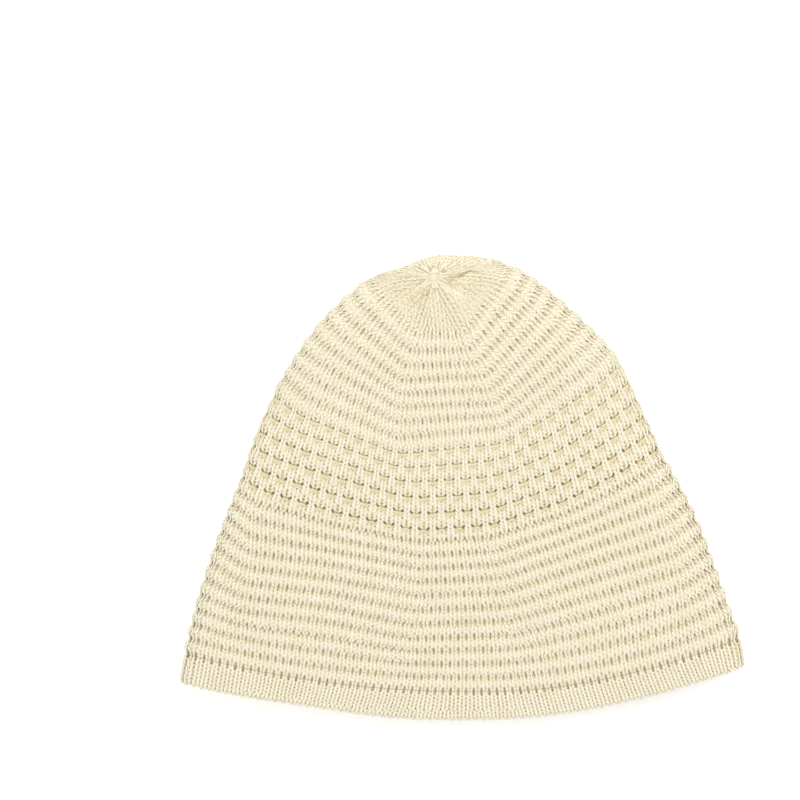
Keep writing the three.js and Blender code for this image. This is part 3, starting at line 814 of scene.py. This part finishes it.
def lay_hole_shades(course, wales, tucked):
    """Notes the painted hole shades of one course: centre q and run, sizes, tilt and darkness."""
    group = hole_shades["hem" if course.piece == "hem" else "body"]
    length = course.bottom - course.top
    q, per_mm = wales.q[1], wales.per_mm
    count = len(q)
    lean_a = (wales.lean + np.roll(wales.lean, -1)) / 2

    def note(picked, u, t, wide, long, tilt, dark):
        size = np.clip(wales.pitch / USUAL_WALE, 0.5, 1.1)
        size = size * random.uniform(*HOLE_SHADE_SIZES, len(picked))
        dark = dark * (CROWN_DARK if course.zone == "crown" else 1.0)
        chance = HOLE_SHADE_CHANCE[course.zone]
        group.append(np.column_stack([
            (q + u * per_mm)[picked], np.full(len(picked), course.top + t * length), per_mm[picked],
            wide * size, long * size, (tilt + np.zeros(count))[picked],
            (dark + np.zeros(count))[picked] * random.uniform(*chance, len(picked)),
        ]))

    in_front = np.flatnonzero(q % 2 < 1)
    kind = course.kind
    for column, t, wide, long, dark in HOLE_SHADES.get(kind, ()):
        if course.lace:
            dark = dark * np.where(tucked == 1, 1.0, PALE_DOT_SHADE)
        if column == "A":
            picked = in_front if kind in ("plain", "closed") else np.arange(count)
            note(picked, wales.right, t, wide, long, lean_a, dark)
        else:
            note(in_front, np.zeros(count), t, wide, long, 0.0, dark)
    if course.lace and course.lace[1] == 3:
        picked = np.flatnonzero(tucked == 1)
        half = (wales.left + wales.right) / 2
        deeper = mix(*ROW_GROWTH, course.lace[0] / (LACE_ROWS - 1))
        for u, t, wide, long, tilt, dark in TUCK_HOLE_SHADES:
            note(picked, u * half, t, wide * deeper, long * deeper, tilt, dark * deeper)


def hole_shade_arrays(rows):
    """Painted shade of the holes: small fans on the cloth, dark in the middle and fading to its colour."""
    q, run, per_mm, wide, long, tilt, dark = rows.T
    turns = 2 * math.pi * np.arange(HOLE_SHADE_SIDES)[:, None] / HOLE_SHADE_SIDES
    down = long * np.sin(turns)
    across = wide * np.cos(turns) + tilt * down
    rim_run = (run + down).T
    rim_q = (q + across * per_mm).T
    rim, _ = outside_at(rim_run, rim_q, base_depth_at(rim_run) - HOLE_SHADE_RISE)
    centre, _ = outside_at(run, q, base_depth_at(run) - HOLE_SHADE_RISE)
    n = len(rows)
    points = np.vstack([centre, rim.reshape(-1, 3)])
    rims = n + np.arange(n * HOLE_SHADE_SIDES).reshape(n, HOLE_SHADE_SIDES)
    following = np.roll(rims, -1, axis=1)
    middle = np.repeat(np.arange(n)[:, None], HOLE_SHADE_SIDES, axis=1)
    quads = np.stack([middle, following, rims, rims], -1).reshape(-1, 4)
    return points, quads, np.concatenate([dark, np.full(n * HOLE_SHADE_SIDES, RIM_DARK)])


for course in courses:
    make_legs(course)

FLOOR_GAP = 0.02  # nothing of the hat is lower than this
# Painted shade of soft creases of the front round the crown point: from x, y to x, y, half width, darkness
CREASE_SHADES = np.array([
    [-19.3, 228.4, -21.9, 225.0, 1.1, 0.34], [-21.9, 225.0, -24.5, 221.0, 1.3, 0.30],
    [-22.3, 229.0, -27.5, 222.0, 3.0, 0.24], [-6.7, 235.1, -3.2, 235.2, 1.0, 0.48],
    [-3.2, 235.2, 0.2, 236.7, 1.0, 0.54], [0.2, 236.7, 3.7, 238.3, 0.7, 0.60],
    [3.7, 238.3, 8.0, 237.9, 0.5, 0.66], [8.0, 237.9, 11.6, 236.5, 0.5, 0.48],
    [-33.6, 234.1, -27.6, 235.6, 0.5, 0.36], [-27.6, 235.6, -19.3, 235.4, 0.5, 0.24],
    [-14.5, 229.0, -14.5, 227.2, 0.6, 0.70], [-9.0, 226.6, -8.8, 226.1, 0.5, 0.65],
    [-15.1, 241.0, -15.0, 239.4, 0.5, 0.42], [-10.0, 238.6, -11.4, 237.2, 0.6, 0.42],
    [-8.0, 242.8, -8.0, 241.6, 0.5, 0.36], [-15.6, 236.0, -14.6, 235.6, 0.6, 0.50],
    [-6.9, 232.4, -6.3, 232.1, 0.9, 0.40], [-17.4, 239.6, -16.8, 238.8, 0.5, 0.40],
])


def crease_shade(p):
    """Painted shade of the creases at points of the front."""
    total = np.zeros(p.shape[:-1])
    for x0, y0, x1, y1, wide, dark in CREASE_SHADES:
        way = np.array([x1 - x0, y1 - y0])
        rel = p[..., :2] - (x0, y0)
        f = np.clip(rel @ way / (way @ way), 0, 1)
        off = np.linalg.norm(rel - f[..., None] * way, axis=-1)
        total = np.maximum(total, dark * np.exp(-(off / wide) ** 2))
    return total


# By number of sides: turn of a tube's first corner, in corners, so that one is on top, and its caps
FIRST_TURN = {4: 0.0, 5: 0.25}
CAPS = {4: ((0, 1, 2, 3),), 5: ((0, 1, 2, 3), (0, 3, 4, 4))}
UNDER_SHADE = 0.20  # shade of a yarn's underside
END_SHADE = 0.05  # and of its ends


def tube_arrays(group, sides):
    """Vertices, faces, shades and UVs of many short yarn tubes on the knit's outside."""
    vertices, faces, shades, uvs = [], [], [], []
    start = 0
    for part in group:
        middle, normal = outside_at(part.run, part.q, part.depth)
        n, m = part.run.shape
        way = np.gradient(middle, axis=1)
        way /= np.maximum(np.linalg.norm(way, axis=2, keepdims=True), 1e-9)
        across = np.cross(way, normal)
        across /= np.maximum(np.linalg.norm(across, axis=2, keepdims=True), 1e-9)
        out = np.cross(across, way)
        turns = 2 * math.pi * (np.arange(sides) + FIRST_TURN[sides]) / sides
        ring = (middle[:, :, None]
                + across[:, :, None] * (part.width[:, :, None] * np.cos(turns))[..., None]
                + out[:, :, None] * (part.height[:, :, None] * np.sin(turns))[..., None])
        low = UNDER_SHADE * np.clip(0.55 - np.sin(turns), 0, 1)
        ends = np.zeros(m)
        ends[0] = ends[-1] = END_SHADE
        shade = part.shade[:, :, None] + low + ends[:, None]
        # painted shade of the creases, on faces that look up
        if part.run.min() < CROWN_ROW:
            upward = smooth(normal[..., 2], 0.0, 0.4)
            shade = shade + (crease_shade(middle) * upward)[:, :, None]
        vertices.append(ring.reshape(-1, 3))
        shades.append(shade.ravel())
        index = start + np.arange(n * m * sides).reshape(n, m, sides)
        a, b = index[:, :-1], index[:, 1:]
        a2, b2 = np.roll(a, -1, axis=2), np.roll(b, -1, axis=2)
        faces.append(np.stack([a, a2, b2, b], -1).reshape(-1, 4))
        for end, way_round in ((0, -1), (-1, 1)):
            for corners in CAPS[sides]:
                faces.append(index[:, end, corners[::way_round]])
        steps = np.linalg.norm(np.diff(middle, axis=1), axis=2)
        lengths = np.concatenate([np.zeros((n, 1)), np.cumsum(steps, axis=1)], axis=1)
        u = np.repeat(lengths[:, :, None], sides, axis=2)
        v = np.broadcast_to(np.arange(sides) / sides, u.shape)
        uvs.append(np.stack([u, v], -1).reshape(-1, 2))
        start += n * m * sides
    return np.vstack(vertices), np.vstack(faces), np.concatenate(shades), np.vstack(uvs)


def add_object(name, data):
    obj = bpy.data.objects.new(name, data)
    bpy.context.scene.collection.objects.link(obj)
    return obj


def make_mesh(name, vertices, quads, shades, uvs=None):
    """A mesh in metres. A quad that repeats its first or last corner is a triangle."""
    mesh = bpy.data.meshes.new(name)
    points = vertices + PATTERN_SHIFT
    points[:, 2] = np.maximum(points[:, 2], FLOOR_GAP)
    keep = np.ones(quads.shape, bool)
    keep[:, 3] = quads[:, 2] != quads[:, 3]
    keep[:, 0] = quads[:, 0] != quads[:, 1]
    loops = quads[keep].astype(np.int32)
    mesh.vertices.add(len(points))
    mesh.vertices.foreach_set("co", (points * MM).astype(np.float32).ravel())
    mesh.loops.add(len(loops))
    mesh.loops.foreach_set("vertex_index", loops)
    mesh.polygons.add(len(quads))
    starts = np.concatenate([[0], np.cumsum(keep.sum(1))[:-1]]).astype(np.int32)
    mesh.polygons.foreach_set("loop_start", starts)
    mesh.polygons.foreach_set("use_smooth", np.ones(len(quads), bool))
    attribute = mesh.attributes.new("shade", "FLOAT", "POINT")
    attribute.data.foreach_set("value", shades.astype(np.float32))
    if uvs is not None:
        layer = mesh.uv_layers.new(name="yarn")
        layer.data.foreach_set("uv", uvs[loops].astype(np.float32).ravel())
    mesh.update(calc_edges=True)
    mesh.validate()
    return add_object(name, mesh)


# The cloth behind the stitches: closed shells that show through the gaps
BASE_COLUMNS = 170
base_q = np.arange(BASE_COLUMNS) * 2 / BASE_COLUMNS


def closed_rings(rings, closed_tube=False):
    count = len(rings[0])
    points = np.vstack(rings)
    index = np.arange(len(points)).reshape(len(rings), count)
    nxt = np.roll(index, -1, axis=1)
    quads = [np.stack([index[:-1], index[1:], nxt[1:], nxt[:-1]], -1).reshape(-1, 4)]
    if closed_tube:
        quads.append(np.stack([index[-1], index[0], nxt[0], nxt[-1]], -1))
    return points, quads, index


INNER_RINGS = 24
INNER_TOP = 6.0  # distance of the last one from the crown point
INSIDE_SHADE = 0.3
TIP_SHADE = 0.4


def body_shell():
    rings, shades = [], []
    for run in [run for run in base_runs if run < JOIN_ROW] + [JOIN_ROW]:
        rings.append(outside_at(run, base_q, base_depth_at(run))[0])
        shades.append(np.full(BASE_COLUMNS, np.interp(run, base_runs, base_darks)))
    for run in np.linspace(JOIN_ROW, INNER_TOP, INNER_RINGS):
        p, n = on_surface(run, base_q)
        rings.append(p + n * (pucker_at(run, p, n) - WALL / 2)[:, None])
        shades.append(np.full(BASE_COLUMNS, INSIDE_SHADE))
    points, quads, index = closed_rings(rings)
    tips = []
    for ring, flip in ((index[0], False), (index[-1], True)):
        tip = np.full(BASE_COLUMNS, len(points) + len(tips))
        tips.append(points[ring].mean(0))
        following = np.roll(ring, -1)
        a, b = (following, ring) if flip else (ring, following)
        quads.append(np.stack([tip, a, b, b], -1))
    shades.append([TIP_SHADE, INSIDE_SHADE])
    return np.vstack([points, tips]), np.vstack(quads), np.concatenate(shades)


def hem_shell():
    half = HEM_WALL / 2
    deep = half - KINDS["hem"].deep
    bend = 0.7 * deep
    start = HEM_START
    middle = (start + HEM_ROW - HEM_ROUND) / 2
    # run, height over the middle surface, shade
    profile = [(start, WALL / 2 - 1.0, 0.40), (start + 1.2, WALL / 2 - 0.9, 0.40)]
    profile += [(run, deep, 0.12) for run in np.linspace(start + 2.4, HEM_TURN, 6)]
    profile += [
        (HEM_TURN + bend, bend, 0.12), (HEM_TURN + deep, 0.0, 0.15), (HEM_TURN + bend, -bend, 0.2),
        (HEM_TURN, -deep, 0.2), (middle, -deep, 0.2), (start, -WALL / 2, 0.2),
    ]
    rings, shades = [], []
    for run, out, shade in profile:
        p, n = on_surface(run, base_q)
        swell = edge_swell(p, n) if out > 0 else np.zeros(len(p))
        rings.append(p + n * (out + swell)[:, None])
        shades.append(np.full(BASE_COLUMNS, shade))
    points, quads, _ = closed_rings(rings, closed_tube=True)
    return points, np.vstack(quads), np.concatenate(shades)


# Colours of the wool from its lit top to the painted shade deep in a gap
WOOL_RAMP = (
    (0.00, (0.920, 0.857, 0.680)),
    (0.35, (0.820, 0.722, 0.478)),
    (0.65, (0.490, 0.396, 0.198)),
    (1.00, (0.240, 0.185, 0.085)),
)
# Scale and detail of the wool's two noises: its mottling and its fibres
WOOL_NOISES = ((90.0, 3.0), (1400.0, 4.0))


def set_inputs(node, values, sources=()):
    """Sets input values of a shader node and connects other inputs to their sources."""
    for name, value in values.items():
        node.inputs[name].default_value = value
    for name, source in dict(sources).items():
        node.id_data.links.new(source, node.inputs[name])
    return node


def wool_material(name, roughness, ply_scale, bump):
    material = bpy.data.materials.new(name)
    material.use_nodes = True
    nodes = material.node_tree.nodes
    coords = nodes.new("ShaderNodeTexCoord").outputs
    # the shade attribute holds painted shade, 0 on a lit top
    shade = nodes.new("ShaderNodeAttribute")
    shade.attribute_name = "shade"
    noises = []
    for scale, detail in WOOL_NOISES:
        noise = nodes.new("ShaderNodeTexNoise")
        set_inputs(noise, {"Scale": scale, "Detail": detail}, {"Vector": coords["Object"]})
        noises.append(noise.outputs["Fac"])
    mottle, fibre = noises
    wander = nodes.new("ShaderNodeMath")
    wander.operation = "MULTIPLY_ADD"
    set_inputs(wander, {1: 0.16, 2: -0.08}, {0: mottle})
    total = nodes.new("ShaderNodeMath")
    total.use_clamp = True
    set_inputs(total, {}, {0: shade.outputs["Fac"], 1: wander.outputs[0]})
    ramp = set_inputs(nodes.new("ShaderNodeValToRGB"), {}, {"Fac": total.outputs[0]})
    stops = ramp.color_ramp.elements  # two at first
    for i, (position, colour) in enumerate(WOOL_RAMP):
        stop = stops[i] if i < 2 else stops.new(position)
        stop.position = position
        stop.color = (*colour, 1)
    height = fibre
    if ply_scale:
        ply = nodes.new("ShaderNodeTexWave")
        ply.bands_direction = "DIAGONAL"
        set_inputs(ply, {"Scale": ply_scale, "Distortion": 1.2}, {"Vector": coords["UV"]})
        both = set_inputs(nodes.new("ShaderNodeMath"), {}, {0: ply.outputs["Fac"], 1: fibre})
        height = both.outputs[0]
    relief = nodes.new("ShaderNodeBump")
    set_inputs(relief, {"Strength": bump, "Distance": 0.0002}, {"Height": height})
    set_inputs(
        nodes["Principled BSDF"],
        {"Roughness": roughness, "Sheen Weight": 0.25, "Sheen Roughness": 0.5,
         "Specular IOR Level": 0.2},
        {"Base Color": ramp.outputs["Color"], "Normal": relief.outputs["Normal"]})
    return material


yarn = wool_material("wool_yarn", 0.92, 0.9, 0.5)
cloth = wool_material("wool_cloth", 0.95, 0.0, 0.6)


def dress(obj, material):
    obj.data.materials.append(material)
    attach(obj, "root")


body = make_mesh("body_cloth", *body_shell())
dress(body, cloth)
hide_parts("knit_body")
hem = make_mesh("hem_cloth", *hem_shell())
dress(hem, cloth)
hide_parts("hem_band")

# dark fans of painted shade in the holes between the yarns
for group_name, slot_name in (("body", "ridged_knit"), ("hem", "fine_knit")):
    shading = make_mesh(f"{group_name}_holes", *hole_shade_arrays(np.vstack(hole_shades[group_name])))
    dress(shading, cloth)

TUBE_SIDES = {"front": 5, "back": 4}
for (piece, face), group in legs.items():
    stitches = make_mesh(f"{piece}_stitches_{face}", *tube_arrays(group, TUBE_SIDES[face]))
    dress(stitches, yarn)

# Floor, light and camera
bpy.ops.mesh.primitive_plane_add(size=6, location=(0, 0, -0.0003))
floor = bpy.context.object
floor.name = "floor"
paper = bpy.data.materials.new("pale_paper")
paper.use_nodes = True
set_inputs(paper.node_tree.nodes["Principled BSDF"], {
    "Base Color": (0.93, 0.93, 0.93, 1), "Roughness": 0.9,
    "Emission Color": (1, 1, 1, 1), "Emission Strength": 0.25,
})
floor.data.materials.append(paper)

world = bpy.data.worlds.new("studio")
bpy.context.scene.world = world
world.use_nodes = True
set_inputs(world.node_tree.nodes["Background"], {"Color": (1, 1, 1, 1), "Strength": 0.82})


def area_light(name, position, size, watts):
    data = bpy.data.lights.new(name, "AREA")
    data.size = size
    data.energy = watts
    light = add_object(name, data)
    light.location = position
    light.rotation_mode = "QUATERNION"
    light.rotation_quaternion = (-light.location).to_track_quat("-Z", "Y")


area_light("key", (0.55, 0.75, 1.3), 0.9, 9)
area_light("fill", (-0.9, -0.3, 1.5), 1.6, 5)

# The photo's frame: 800 pixels at 0.532 mm, its pixel (462, 720) at the pattern's origin
PIXEL = 0.532
PHOTO_ORIGIN = (462, 720)
PHOTO_SIZE = 800
CAMERA_HEIGHT = 3.0
EDGE_HEIGHT = 0.006  # height of the hat's outline over the floor, in metres
SENSOR = 36
centre_x = (PHOTO_SIZE / 2 - PHOTO_ORIGIN[0]) * PIXEL + PATTERN_SHIFT[0]
centre_y = (PHOTO_ORIGIN[1] - PHOTO_SIZE / 2) * PIXEL + PATTERN_SHIFT[1]
camera_data = bpy.data.cameras.new("camera")
camera_data.sensor_width = SENSOR
camera_data.lens = SENSOR * (CAMERA_HEIGHT - EDGE_HEIGHT) / (PHOTO_SIZE * PIXEL * MM)
camera = add_object("camera", camera_data)
camera.location = (centre_x * MM, centre_y * MM, CAMERA_HEIGHT)
camera.rotation_euler = (0, 0, 0)
bpy.context.scene.camera = camera
bpy.context.scene.view_settings.view_transform = "Standard"
